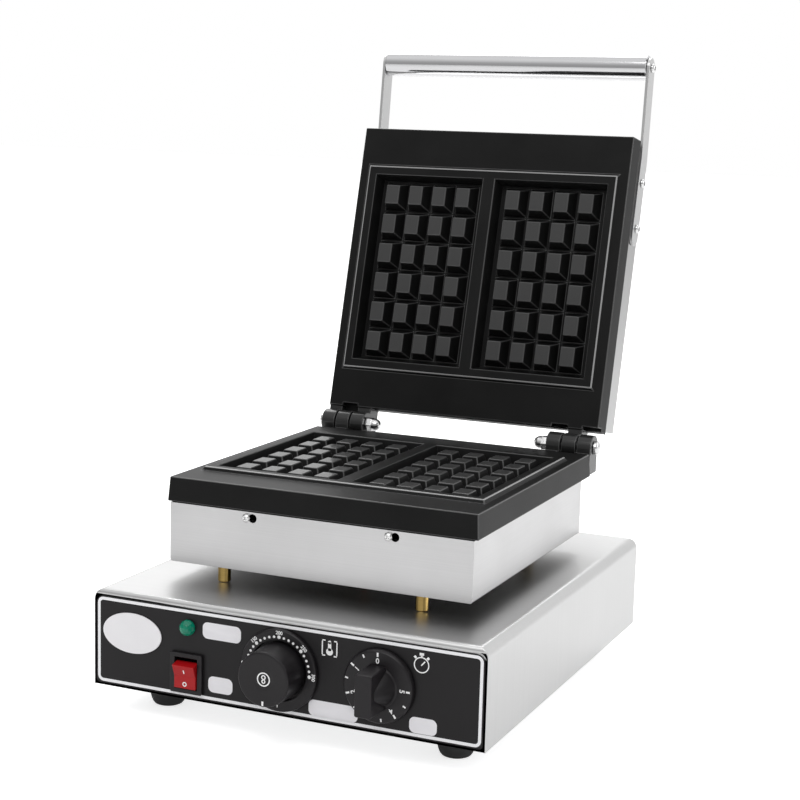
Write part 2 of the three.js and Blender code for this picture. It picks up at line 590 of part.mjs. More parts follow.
const NUT_LENGTH = 13.5;
function makeHingeBolt() {
  return turnedAlongX([[0, LUG_INNER - 9], [BOLT_RADIUS, LUG_INNER - 9], [BOLT_RADIUS, LUG_OUTER + GAP],
    [5.8, LUG_OUTER + GAP], [5.8, LUG_OUTER + 2.6], [4.4, LUG_OUTER + 4.2], [0, LUG_OUTER + 5]], 16);
}
function makeDomeNut() {
  const inner = LUG_INNER - GAP;
  const hexagon = new THREE.CylinderGeometry(5.9, 5.9, 6, 6).rotateZ(Math.PI / 2).translate(inner - 3, 0, 0);
  const dome = turnedAlongX([[0, inner - NUT_LENGTH], [2.8, inner - NUT_LENGTH + 0.8],
    [4.8, inner - NUT_LENGTH + 2.8], [5.5, inner - NUT_LENGTH + 5.6], [5.5, inner - 3], [0, inner - 3]], 16);
  return cut(join(hexagon, dome), rodX(BOLT_RADIUS + GAP, inner - 9.5, inner + 2, 0, 0, 16));
}
for (const [sideName, turn] of [['left', Math.PI], ['right', 0]]) {
  addPart(lowerHinge, `hinge_bolt_${sideName}`, makeHingeBolt(), CHROME).rotation.z = turn;
  addPart(lowerHinge, `hinge_nut_${sideName}`, makeDomeNut(), CHROME).rotation.z = turn;
}

// ---- Lid cover, arms and handle -----------------------------------------------------------

const COVER_LOW = FACE_DROP + PLATE_THICKNESS + GAP;
const COVER_HIGH = COVER_LOW + COVER_HEIGHT;
const COVER_FRONT = -267;
const COVER_BACK = -18;
function makeLidCover() {
  const half = COVER_WIDTH / 2;
  const outside = frontProfile(roundedRectangle(-half, half, COVER_LOW - 10, COVER_HIGH, 1, 2.5),
    COVER_FRONT, COVER_BACK, 3);
  const inside = frontProfile(roundedRectangle(-half + 1, half - 1, COVER_LOW - 12, COVER_HIGH - 1, 1, 1.5),
    COVER_FRONT + 1, COVER_BACK - 1, 3);
  const holes = armScrewPlaces().map(([y, z]) => rodX(2.3, -half - 5, half + 5, y, z, 12));
  return cut(outside, inside, block(-200, 200, -300, 10, -40, COVER_LOW), ...holes);
}

function armScrewPlaces() {
  return [[-199, ARM_LIFT], [-240, ARM_LIFT]];
}

const bendAngle = THREE.MathUtils.degToRad(ARM_BEND);
const HANDLE_Y = -ARM_BEND_AT - ARM_REACH * Math.cos(bendAngle);
const HANDLE_Z = ARM_LIFT - ARM_REACH * Math.sin(bendAngle);
const ARM_INNER = COVER_WIDTH / 2 + GAP;
const ARM_OUTER = ARM_INNER + ARM_THICKNESS;

// Side view of an arm: straight along the cover, bent once, round at both ends.
function makeArm() {
  const half = ARM_WIDTH / 2;
  const shape = new THREE.Shape();
  const down = new THREE.Vector2(Math.sin(bendAngle), -Math.cos(bendAngle));
  shape.moveTo(-ARM_START - half, ARM_LIFT - half);
  shape.absarc(-ARM_START - half, ARM_LIFT, half, -Math.PI / 2, Math.PI / 2, false);
  shape.lineTo(-ARM_BEND_AT, ARM_LIFT + half);
  shape.lineTo(HANDLE_Y - down.x * half, HANDLE_Z - down.y * half);
  shape.absarc(HANDLE_Y, HANDLE_Z, half, Math.PI / 2 + bendAngle, 1.5 * Math.PI + bendAngle, false);
  shape.lineTo(-ARM_BEND_AT, ARM_LIFT - half);
  const bar = sideProfile(shape, 0, ARM_THICKNESS, 8);
  const holes = [...armScrewPlaces(), [HANDLE_Y, HANDLE_Z]].map(([y, z]) => rodX(2.3, -5, 5, y, z, 12));
  return cut(bar, ...holes);
}

function makeCrossScrew(shank) {
  const head = turnedAlongX([[0, 0], [3.9, 0], [3.9, 0.8], [3, 2], [0, 2.5]], 12);
  return join(head, rodX(1.9, -shank, 0.2, 0, 0, 8));
}

addPart(lid, 'lid_cover', makeLidCover(), BRUSHED);
for (const [sideName, side] of [['left', -1], ['right', 1]]) {
  const arm = addPart(lid, `arm_${sideName}`, makeArm(), BRUSHED);
  arm.position.x = side > 0 ? ARM_INNER : -ARM_OUTER;
  armScrewPlaces().forEach(([y, z], i) => {
    const screw = addPart(lid, `arm_screw_${sideName}_${i === 0 ? 'rear' : 'front'}`, makeCrossScrew(8), CHROME);
    screw.position.set(side * (ARM_OUTER + GAP), y, z);
    screw.rotation.z = side > 0 ? 0 : Math.PI;
  });
  const endScrew = addPart(lid, `handle_screw_${sideName}`, makeCrossScrew(16), CHROME);
  endScrew.position.set(side * (ARM_OUTER + GAP), HANDLE_Y, HANDLE_Z);
  endScrew.rotation.z = side > 0 ? 0 : Math.PI;
}

function makeHandleTube() {
  const half = ARM_INNER - GAP;
  const tube = turnedAlongX([[0, -half], [HANDLE_RADIUS, -half], [HANDLE_RADIUS, half], [0, half]], 24);
  const bores = [-1, 1].map((side) => rodX(2.3, side * half - 16, side * half + 16, 0, 0, 12));
  return cut(tube, ...bores);
}
addPart(lid, 'handle_tube', makeHandleTube(), CHROME).position.set(0, HANDLE_Y, HANDLE_Z);

// ---- Frame --------------------------------------------------------------------------------

// Stand the machine on Z = 0 with its box centred on the Z axis.
waffleMaker.updateMatrixWorld(true);
const box = new THREE.Box3().setFromObject(waffleMaker, true);
base.position.set(0, -(box.min.y + box.max.y) / 2, -box.min.z);

export default waffleMaker;
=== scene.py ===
import math

import bmesh
import bpy
from mathutils import Matrix, Vector


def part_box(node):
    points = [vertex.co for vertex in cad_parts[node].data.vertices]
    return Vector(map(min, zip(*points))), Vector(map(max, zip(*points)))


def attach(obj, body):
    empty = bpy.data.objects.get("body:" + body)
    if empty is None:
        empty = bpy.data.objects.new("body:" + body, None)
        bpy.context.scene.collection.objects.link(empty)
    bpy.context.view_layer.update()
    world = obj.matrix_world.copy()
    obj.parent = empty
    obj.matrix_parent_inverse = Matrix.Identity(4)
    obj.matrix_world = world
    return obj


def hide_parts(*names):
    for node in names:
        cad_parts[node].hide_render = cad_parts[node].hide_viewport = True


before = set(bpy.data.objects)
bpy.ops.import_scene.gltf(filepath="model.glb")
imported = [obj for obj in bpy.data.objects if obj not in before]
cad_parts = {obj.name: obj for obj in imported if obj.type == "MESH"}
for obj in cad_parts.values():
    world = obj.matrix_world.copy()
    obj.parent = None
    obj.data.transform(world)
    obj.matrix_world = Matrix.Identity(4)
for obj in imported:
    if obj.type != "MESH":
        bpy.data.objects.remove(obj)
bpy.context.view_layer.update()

# ---- Studio ---------------------------------------------------------------------------------
# A pale floor under even white light, with a long lens looking down a little from the
# machine's right front.

FOCAL_LENGTH = 80.08
# In degrees: round to the right, down, and rolled.
VIEW_ROUND = 23.554
VIEW_DOWN = 9.428
VIEW_ROLL = 1.549
# In metres: right of the middle, ahead of the front panel, and above the floor.
CAMERA_RIGHT = 0.5706
CAMERA_AHEAD = 1.1064
CAMERA_UP = 0.4648
camera = bpy.data.objects.new("camera", bpy.data.cameras.new("camera"))
bpy.context.collection.objects.link(camera)
bpy.context.scene.camera = camera
camera.data.lens = FOCAL_LENGTH
camera.data.clip_end = 50
turn = (Matrix.Rotation(math.radians(VIEW_ROUND), 4, "Z")
        @ Matrix.Rotation(math.radians(90 - VIEW_DOWN), 4, "X")
        @ Matrix.Rotation(math.radians(VIEW_ROLL), 4, "Z"))
front_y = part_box("base_top_cover")[0].y
camera.matrix_world = Matrix.Translation((CAMERA_RIGHT, front_y - CAMERA_AHEAD, CAMERA_UP)) @ turn
bpy.context.scene.view_settings.view_transform = "Standard"


def soft_light(name, place, aim, size, power):
    lamp = bpy.data.lights.new(name, "AREA")
    lamp.shape = "RECTANGLE"
    lamp.size, lamp.size_y = size
    lamp.energy = power
    light = bpy.data.objects.new(name, lamp)
    bpy.context.collection.objects.link(light)
    light.matrix_world = Matrix.Translation(place) @ (
        (Vector(aim) - Vector(place)).to_track_quat("-Z", "Y").to_matrix().to_4x4())


class Socket:
    """An output of a finish's nodes; arithmetic on it adds Math nodes."""

    def __init__(self, finish, end):
        self.finish, self.end = finish, end

    def math(self, operation, *values):
        return self.finish.node("Math", {"operation": operation}, dict(enumerate(values)))

    def __add__(self, other):
        return self.math("ADD", self, other)

    def __sub__(self, other):
        return self.math("SUBTRACT", self, other)

    def __rsub__(self, other):
        return self.math("SUBTRACT", other, self)

    def __mul__(self, other):
        return self.math("MULTIPLY", self, other)

    def __gt__(self, other):
        return self.math("GREATER_THAN", self, other)

    __radd__ = __add__
    __rmul__ = __mul__


class Finish:
    """A material made of nodes, named for the finish it gives."""

    def __init__(self, name, block=None):
        self.material = block or bpy.data.materials.new(name)
        self.material.use_nodes = True
        self.tree = self.material.node_tree
        self.shader = self.tree.nodes.get("Principled BSDF")
        self.place = self.node("TexCoord", {}, {}, "Generated" if block else "Object")

    def node(self, kind, settings, inputs, output=0):
        node = self.tree.nodes.new("ShaderNode" + kind)
        for key, value in settings.items():
            if key == "stops":
                ramp = node.color_ramp.elements
                while len(ramp) < len(value):
                    ramp.new(0.5)
                for stop, (at, shade) in zip(ramp, value):
                    stop.position = at
                    stop.color = (shade, shade, shade, 1)
            else:
                setattr(node, key, value)
        self.feed(node, inputs)
        return Socket(self, node.outputs[output])

    def feed(self, node, inputs):
        for key, value in inputs.items():
            if isinstance(value, Socket):
                self.tree.links.new(value.end, node.inputs[key])
            else:
                node.inputs[key].default_value = value

    def noise(self, stretch, detail=2.0):
        """Noise over the piece; stretch is how many features to a metre along X, Y and Z."""
        place = self.node("Mapping", {}, {"Vector": self.place, "Scale": stretch})
        return self.node("TexNoise", {}, {"Vector": place, "Scale": 1.0, "Detail": detail}, "Fac")

    def ramp(self, value, *stops):
        return self.node("ValToRGB", {"stops": stops}, {"Fac": value}, "Color")

    def tint(self, share, dark, light):
        """A colour between two, by share."""
        return self.node("Mix", {"data_type": "RGBA"}, {0: share, 6: (*dark, 1), 7: (*light, 1)}, 2)

    def bump(self, height, depth):
        """Relief of that depth in metres."""
        return self.node("Bump", {}, {"Height": height, "Strength": 1.0, "Distance": depth}, "Normal")

    def surface(self, **inputs):
        self.feed(self.shader, {key.replace("_", " "): value for key, value in inputs.items()})
        return self.material


# Reflections and light come from a white room that is dimmer behind the camera, with two dark
# uprights that draw stripes on round metal. What the camera sees directly is plain white.
world = bpy.data.worlds.new("studio")
bpy.context.scene.world = world
room = Finish("studio", world)
across, back, height = (room.node("SeparateXYZ", {}, {0: room.place}, axis) for axis in "XYZ")
dimming = room.node(
    "MapRange", {"interpolation_type": "SMOOTHSTEP"},
    {"Value": back + height, "From Min": -0.8, "From Max": 0.4, "To Min": 0.42, "To Max": 0.92})
# From the room's left to its right: a place, and the share of light there.
uprights = room.ramp(across * 0.5 + 0.5, (0, 1), (0.06, 0.12), (0.12, 0.12), (0.17, 1),
                     (0.81, 1), (0.86, 0.15), (0.90, 0.15), (0.95, 1))
brightness = dimming * uprights
seen = room.node("LightPath", {}, {}, "Is Camera Ray")
room.feed(room.tree.nodes["Background"],
          {"Color": (1, 1, 1, 1), "Strength": brightness * (1 - seen) + seen})

FLOOR_GLOW = 0.18
SEEN_GLOW = 0.54  # added where the camera sees the floor, so that it comes out plain white
floor_finish = Finish("studio_floor")
cloud = floor_finish.noise((3, 3, 3))
glow = floor_finish.node("LightPath", {}, {}, "Is Camera Ray")
floor_material = floor_finish.surface(
    Base_Color=floor_finish.tint(cloud, (0.74, 0.74, 0.74), (0.77, 0.77, 0.77)),
    Roughness=0.9, Emission_Color=(1, 1, 1, 1), Emission_Strength=glow * SEEN_GLOW + FLOOR_GLOW)
soft_light("back_light", place=(-0.75, front_y + 1.65, 1.85), aim=(0, front_y + 0.3, 0.35),
           size=(2.2, 1.3), power=30)
soft_light("front_light", place=(0.2, front_y - 1.7, 2.6), aim=(0, front_y, 0.1),
           size=(1.8, 1.2), power=22)
soft_light("right_light", place=(1.9, front_y + 1.0, 1.1), aim=(0.3, front_y + 0.3, 0.1),
           size=(1.2, 1.4), power=10)
FLOOR_REACH = 12
floor_grid = bmesh.new()
bmesh.ops.create_grid(floor_grid, x_segments=8, y_segments=8, size=FLOOR_REACH)
floor_mesh = bpy.data.meshes.new("floor")
floor_grid.to_mesh(floor_mesh)
floor_grid.free()
floor_mesh.materials.append(floor_material)
floor = bpy.data.objects.new("floor", floor_mesh)
bpy.context.collection.objects.link(floor)

# ---- Base housing ---------------------------------------------------------------------------
# One sheet of brushed stainless steel folded over the top and both sides, with a plain steel
# panel let in at the front and back. The brushing runs across the top and down the sides.

MM = 0.001


def make_piece(name, bm, body, material, *nodes, sharp=32):
    """Turns a bmesh into a piece on a body, smooth except at edges sharper than that."""
    for face in bm.faces:
        face.smooth = True
    for edge in bm.edges:
        edge.smooth = len(edge.link_faces) != 2 or edge.calc_face_angle() < math.radians(sharp)
    mesh = bpy.data.meshes.new(name)
    bm.to_mesh(mesh)
    bm.free()
    mesh.materials.append(material)
    piece = bpy.data.objects.new(name, mesh)
    bpy.context.collection.objects.link(piece)
    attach(piece, body)
    even = piece.modifiers.new("even_faces", "WEIGHTED_NORMAL")
    even.keep_sharp = True
    even.weight = 90
    if nodes:
        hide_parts(*nodes)
    return piece


def round_edges(bm, edges, radius, segments=3):
    """Rounds edges, and marks the new faces in the attribute that carries painted highlights."""
    worn = bm.faces.layers.float.get("worn")
    done = bmesh.ops.bevel(bm, geom=edges, offset=radius, segments=segments, profile=0.5,
                           affect="EDGES", material=-1)
    if worn is not None:
        for face in done["faces"]:
            face[worn] = 1.0


def sharp_edges(bm, angle=32):
    return [edge for edge in bm.edges
            if len(edge.link_faces) == 2 and edge.calc_face_angle() > math.radians(angle)]


def from_node(node):
    """A copy of a CAD node's mesh with its flat faces made whole."""
    bm = bmesh.new()
    bm.from_mesh(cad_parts[node].data)
    bm.faces.layers.float.new("worn")
    bmesh.ops.remove_doubles(bm, verts=bm.verts, dist=1e-6)
    bmesh.ops.dissolve_limit(bm, angle_limit=math.radians(1), verts=bm.verts, edges=bm.edges)
    return bm


def brushed(name, stretch, shade, rough=0.30):
    """Brushed stainless steel: hair lines, faint broad bands and cloudy wiping marks."""
    finish = Finish(name)
    hair = finish.noise(stretch, detail=3)
    band = finish.noise([share * 0.12 for share in stretch])
    cloud = finish.noise((14, 14, 14), detail=3)
    mix = hair * 0.3 + band * 0.3 + cloud * 0.4
    colour = finish.tint(mix, [shade * 0.9] * 3, [min(1, shade * 1.1)] * 3)
    return finish.surface(
        Base_Color=colour, Metallic=1.0, Roughness=rough - 0.03 + mix * 0.06,
        Normal=finish.bump(hair, 0.000003))


HAIR_LINES = 1900  # to a metre across the brushing
STREAKS = 9  # to a metre along it
sheet_steel = brushed("brushed_sheet", (STREAKS, HAIR_LINES, STREAKS), shade=0.62, rough=0.33)
cover = from_node("base_top_cover")
round_edges(cover, sharp_edges(cover, 60), 0.42 * MM, 3)
make_piece("housing_cover", cover, "base", sheet_steel, "base_top_cover")

panel_steel = brushed("brushed_panel", (STREAKS, STREAKS, HAIR_LINES), shade=0.62)
for node, name in (("base_front_panel", "front_panel"), ("base_rear_panel", "rear_panel")):
    panel = from_node(node)
    round_edges(panel, sharp_edges(panel, 60), 0.2 * MM, 2)
    make_piece(name, panel, "base", panel_steel, node)

zinc = Finish("zinc_plated_sheet")
spangle = zinc.node("TexVoronoi", {}, {"Vector": zinc.place, "Scale": 160.0}, "Distance")
zinc_material = zinc.surface(
    Base_Color=zinc.tint(spangle, (0.42, 0.43, 0.44), (0.62, 0.63, 0.64)),
    Metallic=0.9, Roughness=0.38 + spangle * 0.2)


def refinish(material, *nodes):
    """Gives CAD nodes that carry on as they are a finish of their own."""
    for node in nodes:
        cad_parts[node].data.materials.clear()
        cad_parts[node].data.materials.append(material)


refinish(zinc_material, "base_bottom_plate")

# ---- Feet -----------------------------------------------------------------------------------
# Four moulded rubber feet, widest at the top, with a hollow underneath for the screw that
# fixes each one to the base.


def turned_profile(bm, profile, centre, axis, sides=48):
    """Spins (radius, height) points round an axis through centre; height runs along the axis."""
    along = Vector(axis).normalized()
    across = along.orthogonal().normalized()
    centre = Vector(centre)
    points = [bm.verts.new(centre + across * r * MM + along * h * MM) for r, h in profile]
    edges = [bm.edges.new(pair) for pair in zip(points, points[1:])]
    bmesh.ops.spin(bm, geom=points + edges, cent=centre, axis=along, angle=2 * math.pi,
                   steps=sides, use_merge=True)


def finish_turning(bm):
    bmesh.ops.remove_doubles(bm, verts=bm.verts, dist=1e-7)
    bmesh.ops.dissolve_degenerate(bm, edges=bm.edges, dist=1e-7)
    bmesh.ops.recalc_face_normals(bm, faces=bm.faces)


rubber = Finish("foot_rubber")
grit = rubber.noise((900, 900, 900))
rubber_material = rubber.surface(
    Base_Color=rubber.tint(grit, (0.012, 0.012, 0.012), (0.03, 0.03, 0.03)),
    Roughness=0.55 + grit * 0.2, Normal=rubber.bump(grit, 0.0001))
CORNERS = ("front_left", "front_right", "back_left", "back_right")
for corner in CORNERS:
    low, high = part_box(f"foot_{corner}")
    middle = ((low.x + high.x) / 2, (low.y + high.y) / 2, low.z)
    foot = bmesh.new()
    turned_profile(foot, ((0, 3), (3.4, 3), (3.8, 0.4), (4.4, 0), (9.6, 0), (10.9, 0.6), (12.2, 2.2),
                          (13.2, 4.6), (14, 7.6), (14.6, 11), (14.9, 14.6), (15, 17), (15, 21.2),
                          (14.6, 21.7), (0, 21.7)), middle, (0, 0, 1))
    finish_turning(foot)
    make_piece(f"rubber_foot_{corner}", foot, "base", rubber_material, f"foot_{corner}")

# ---- Control panel film ---------------------------------------------------------------------
# A printed polycarbonate film stuck over the front panel: satin black, with a silver line
# round its edge, blank grey label fields and two line symbols.

PANEL_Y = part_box("control_overlay")[0].y
panel_low, panel_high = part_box("control_overlay")


def rounded_plate(bm, x, z, y, radius):
    """A plate standing across the front, between two x, two z and two y values, corners rounded."""
    made = bmesh.ops.create_cube(bm, size=1)["verts"]
    bmesh.ops.scale(bm, vec=(x[1] - x[0], y[1] - y[0], z[1] - z[0]), verts=made)
    bmesh.ops.translate(bm, vec=((x[0] + x[1]) / 2, (y[0] + y[1]) / 2, (z[0] + z[1]) / 2), verts=made)
    corners = [e for e in {edge for v in made for edge in v.link_edges}
               if abs(e.verts[0].co.y - e.verts[1].co.y) > abs(y[1] - y[0]) * 0.5
               and abs(e.verts[0].co.x - e.verts[1].co.x) < 1e-7
               and abs(e.verts[0].co.z - e.verts[1].co.z) < 1e-7]
    bmesh.ops.bevel(bm, geom=corners, offset=radius, segments=8, profile=0.5,
                    affect="EDGES", material=-1)


film = Finish("printed_film")
peel = film.noise((700, 700, 700))
smear = film.noise((18, 18, 18), detail=3)
film_material = film.surface(
    Base_Color=film.tint(smear, (0.009, 0.008, 0.009), (0.013, 0.012, 0.013)),
    Roughness=0.36 + smear * 0.12, Specular_IOR_Level=0.25, Normal=film.bump(peel, 0.00003))
overlay = from_node("control_overlay")
round_edges(overlay, sharp_edges(overlay, 60), 0.1 * MM, 2)
make_piece("control_film", overlay, "base", film_material, "control_overlay")

silver_ink = Finish("silver_ink")
speck = silver_ink.noise((1500, 1500, 1500))
silver_material = silver_ink.surface(
    Base_Color=silver_ink.tint(speck, (0.78, 0.78, 0.80), (0.92, 0.92, 0.94)),
    Metallic=0.2, Roughness=0.30 + speck * 0.1)
INK_DEPTH = 0.06  # millimetres
INK = INK_DEPTH * MM
BORDER_INSET = 1.2 * MM
BORDER_WIDTH = 2.3 * MM
BORDER_CORNER = 4.8 * MM
border = bmesh.new()
rounded_plate(border, (panel_low.x + BORDER_INSET, panel_high.x - BORDER_INSET),
              (panel_low.z + BORDER_INSET, panel_high.z - BORDER_INSET),
              (PANEL_Y - INK, PANEL_Y), BORDER_CORNER)
border.normal_update()
bmesh.ops.delete(border, geom=[f for f in border.faces if f.normal.y > -0.9], context="FACES")
inner_field = list(border.faces)
bmesh.ops.inset_region(border, faces=inner_field, thickness=BORDER_WIDTH, use_even_offset=True,
                       use_boundary=True)
bmesh.ops.delete(border, geom=inner_field, context="FACES")
up = bmesh.ops.extrude_face_region(border, geom=list(border.faces))["geom"]
bmesh.ops.translate(border, vec=(0, INK, 0), verts=[v for v in up if isinstance(v, bmesh.types.BMVert)])
bmesh.ops.recalc_face_normals(border, faces=border.faces)
make_piece("film_border", border, "base", silver_material)

label_grey = Finish("label_grey")
wash = label_grey.noise((60, 60, 160), detail=3)
label_material = label_grey.surface(
    Base_Color=label_grey.tint(wash, (0.76, 0.75, 0.78), (0.88, 0.87, 0.90)),
    Roughness=0.40 + wash * 0.15)
FLOOR_UP = 22 * MM  # the base's underside above the floor
LABEL_CORNER = 4.2 * MM
# Left, right, bottom and top, in millimetres from the middle and from the base's underside.
LABEL_FIELDS = ((-65.5, -33.4, 50.0, 62.5), (-60.4, -40.0, 9.5, 21.8),
                (22.8, 62.0, 5.5, 17.5), (102.2, 123.3, 6.0, 17.8))
for number, (left, right, bottom, top) in enumerate(LABEL_FIELDS, 1):
    label = bmesh.new()
    rounded_plate(label, (left * MM, right * MM), (bottom * MM + FLOOR_UP, top * MM + FLOOR_UP),
                  (PANEL_Y - INK, PANEL_Y), LABEL_CORNER)
    make_piece(f"label_field_{number}", label, "base", label_material)

white_ink = Finish("white_ink")
thin = white_ink.noise((2000, 2000, 2000))
white_material = white_ink.surface(
    Base_Color=white_ink.tint(thin, (0.84, 0.84, 0.84), (0.96, 0.96, 0.96)), Roughness=0.45 + thin * 0.1)


def ink_bar(bm, start, end, width):
    """A short printed line in the X, Z plane, thickening towards -Y from y = 0."""
    start, end = Vector(start), Vector(end)
    run = end - start
    made = bmesh.ops.create_cube(bm, size=1)["verts"]
    bmesh.ops.scale(bm, vec=(run.length, INK_DEPTH, width), verts=made)
    bmesh.ops.translate(bm, vec=(0, -INK_DEPTH / 2, 0), verts=made)
    bmesh.ops.rotate(bm, matrix=Matrix.Rotation(-math.atan2(run.y, run.x), 3, "Y"), verts=made)
    bmesh.ops.translate(bm, vec=((start.x + end.x) / 2, 0, (start.y + end.y) / 2), verts=made)


def ink_disc(bm, centre, radius, hole=0.0, sides=32):
    """A printed dot or ring."""
    made = bmesh.ops.create_circle(bm, cap_ends=True, segments=sides, radius=radius)["verts"]
    face = made[0].link_faces[0]
    faces = [face]
    if hole:
        faces = bmesh.ops.inset_region(bm, faces=[face], thickness=radius - hole, use_even_offset=True,
                                       use_boundary=True)["faces"]
        bmesh.ops.delete(bm, geom=[face], context="FACES")
        made = list({v for f in faces for v in f.verts})
    up = bmesh.ops.extrude_face_region(bm, geom=faces)["geom"]
    raised = [v for v in up if isinstance(v, bmesh.types.BMVert)]
    bmesh.ops.translate(bm, vec=(0, 0, INK_DEPTH), verts=raised)
    every = list(set(made) | set(raised))
    bmesh.ops.rotate(bm, matrix=Matrix.Rotation(math.pi / 2, 3, "X"), verts=every)
    bmesh.ops.translate(bm, vec=(centre[0], 0, centre[1]), verts=every)


def ink_text(bm, words, size, at, turn):
    """Printed figures, standing upright in the X, Z plane before they are turned."""
    curve = bpy.data.curves.new("figures", "FONT")
    curve.body = words
    curve.size = size
    curve.align_x, curve.align_y = "CENTER", "CENTER"
    curve.extrude = INK_DEPTH / 2
    curve.offset = size * 0.024
    maker = bpy.data.objects.new("figures", curve)
    bpy.context.collection.objects.link(maker)
    bpy.context.view_layer.update()
    mesh = bpy.data.meshes.new_from_object(maker.evaluated_get(bpy.context.evaluated_depsgraph_get()))
    bpy.data.objects.remove(maker)
    before = len(bm.verts)
    bm.from_mesh(mesh)
    bm.verts.ensure_lookup_table()
    made = bm.verts[before:]
    bmesh.ops.rotate(bm, matrix=Matrix.Rotation(math.pi / 2, 3, "X"), verts=made)
    bmesh.ops.rotate(bm, matrix=Matrix.Rotation(-turn, 3, "Y"), verts=made)
    bmesh.ops.translate(bm, vec=(at[0], -INK_DEPTH / 2, at[1]), verts=made)
    bpy.data.meshes.remove(mesh)


def print_on(name, bm, body, place, material):
    """Scales marks drawn in millimetres, sets them at a place and makes them a piece."""
    bmesh.ops.scale(bm, vec=(MM, MM, MM), verts=bm.verts)
    bmesh.ops.translate(bm, vec=place, verts=bm.verts)
    bmesh.ops.recalc_face_normals(bm, faces=bm.faces)
    make_piece(name, bm, body, material)


def on_film(x, z):
    """A place on the film, in millimetres from the middle and from the base's underside."""
    return Vector((x * MM, PANEL_Y, z * MM + FLOOR_UP))


thermometer = bmesh.new()
for side in (-1, 1):
    ink_bar(thermometer, (side * 5.8, -5.0), (side * 5.8, 5.0), 0.9)
    ink_bar(thermometer, (side * 5.8, 5.6), (side * 3.4, 5.6), 0.9)
    ink_bar(thermometer, (side * 5.8, -5.6), (side * 3.4, -5.6), 0.9)
ink_disc(thermometer, (0, -2.6), 2.7)
ink_bar(thermometer, (0, -2.0), (0, 4.6), 2.6)
ink_disc(thermometer, (0, 4.4), 1.3)
print_on("thermometer_symbol", thermometer, "base", on_film(38.7, 57.7), white_material)

stopwatch = bmesh.new()
ink_disc(stopwatch, (0, -1.2), 5.9, 5.1)
ink_bar(stopwatch, (-0.2, -1.6), (2.6, 1.6), 0.9)
ink_bar(stopwatch, (-1.7, 6.6), (1.7, 6.6), 2.0)
ink_bar(stopwatch, (0, 4.5), (0, 6.0), 1.4)
ink_bar(stopwatch, (4.2, 3.4), (5.6, 4.8), 1.8)
ink_bar(stopwatch, (-4.2, 3.4), (-5.6, 4.8), 1.8)
print_on("stopwatch_symbol", stopwatch, "base", on_film(110.3, 57.5), white_material)

# ---- Badge ----------------------------------------------------------------------------------
# A blank oval plate, pearl white with a softly rounded edge, stamped from thin sheet and
# stuck on the film.

low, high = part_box("badge_plate")
badge = bmesh.new()
bmesh.ops.create_circle(badge, cap_ends=True, segments=72, radius=1)
bmesh.ops.rotate(badge, matrix=Matrix.Rotation(math.pi / 2, 3, "X"), verts=badge.verts)
bmesh.ops.scale(badge, vec=((high.x - low.x) / 2, 1, (high.z - low.z) / 2), verts=badge.verts)
bmesh.ops.translate(badge, vec=((low.x + high.x) / 2, high.y, (low.z + high.z) / 2), verts=badge.verts)
up = bmesh.ops.extrude_face_region(badge, geom=list(badge.faces))["geom"]
raised = [v for v in up if isinstance(v, bmesh.types.BMVert)]
bmesh.ops.translate(badge, vec=(0, low.y - high.y, 0), verts=raised)
bmesh.ops.recalc_face_normals(badge, faces=badge.faces)
front_rim = [e for e in badge.edges if all(v.co.y < (low.y + high.y) / 2 for v in e.verts)]
round_edges(badge, front_rim, 0.4 * MM, 3)
pearl = Finish("pearl_white")
cloud = pearl.noise((40, 40, 40))
pearl_material = pearl.surface(
    Base_Color=pearl.tint(cloud, (0.79, 0.78, 0.80), (0.87, 0.86, 0.88)),
    Roughness=0.25 + cloud * 0.1, Coat_Weight=0.3)
make_piece("oval_badge", badge, "base", pearl_material, "badge_plate")

# ---- Pilot lamp -----------------------------------------------------------------------------
# A moulded green lens with a faceted crown, pushed through the panel, with its lamp in a white body on the
# inside. The lens carries a faint painted glow of its own.

FORWARD = (0, -1, 0)
LENS_FACETS = 12
low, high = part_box("pilot_lamp_lens")
lamp_at = Vector(((low.x + high.x) / 2, high.y, (low.z + high.z) / 2))
lens = bmesh.new()
turned_profile(lens, ((0, 0), (6.2, 0), (6.2, 1.8), (5.9, 2.6), (5.3, 4.2), (3.6, 6.2), (1.6, 7.2),
                      (0, 7.35)), lamp_at, FORWARD, LENS_FACETS)
finish_turning(lens)
round_edges(lens, sharp_edges(lens, 12), 0.16 * MM, 2)
green = Finish("green_lens")
swirl = green.noise((300, 300, 300))
# The emission is a faint painted glow on the lens.
green_glow_material = green.surface(
    Base_Color=green.tint(swirl, (0.0, 0.10, 0.06), (0.0, 0.24, 0.14)),
    Roughness=0.14 + swirl * 0.06, Specular_IOR_Level=0.35, Coat_Weight=0.25, Coat_Roughness=0.02,
    Emission_Color=(0.0, 0.25, 0.14, 1), Emission_Strength=0.09)
make_piece("pilot_lens", lens, "base", green_glow_material, "pilot_lamp_lens", sharp=10)

# ---- Power switch ---------------------------------------------------------------------------
# A snap-in switch, pushed into the panel from the front: a black moulded bezel, and a
# glossy red rocker with white marks moulded in.


def moulded(name, dark, light, rough, depth=0.00002, gloss=0.5):
    """Moulded plastic with a fine spark texture and a cloudy sheen."""
    finish = Finish(name)
    spark = finish.noise((1200, 1200, 1200))
    cloud = finish.noise((30, 30, 30), detail=3)
    return finish.surface(
        Base_Color=finish.tint(cloud, dark, light), Roughness=rough - 0.05 + cloud * 0.1,
        Specular_IOR_Level=gloss, Normal=finish.bump(spark, depth))


black_plastic = moulded("black_plastic", (0.008, 0.007, 0.008), (0.014, 0.012, 0.014), 0.38, gloss=0.32)
bezel = from_node("power_switch_body")
round_edges(bezel, sharp_edges(bezel, 60), 0.35 * MM, 3)
make_piece("switch_bezel", bezel, "base", black_plastic, "power_switch_body")

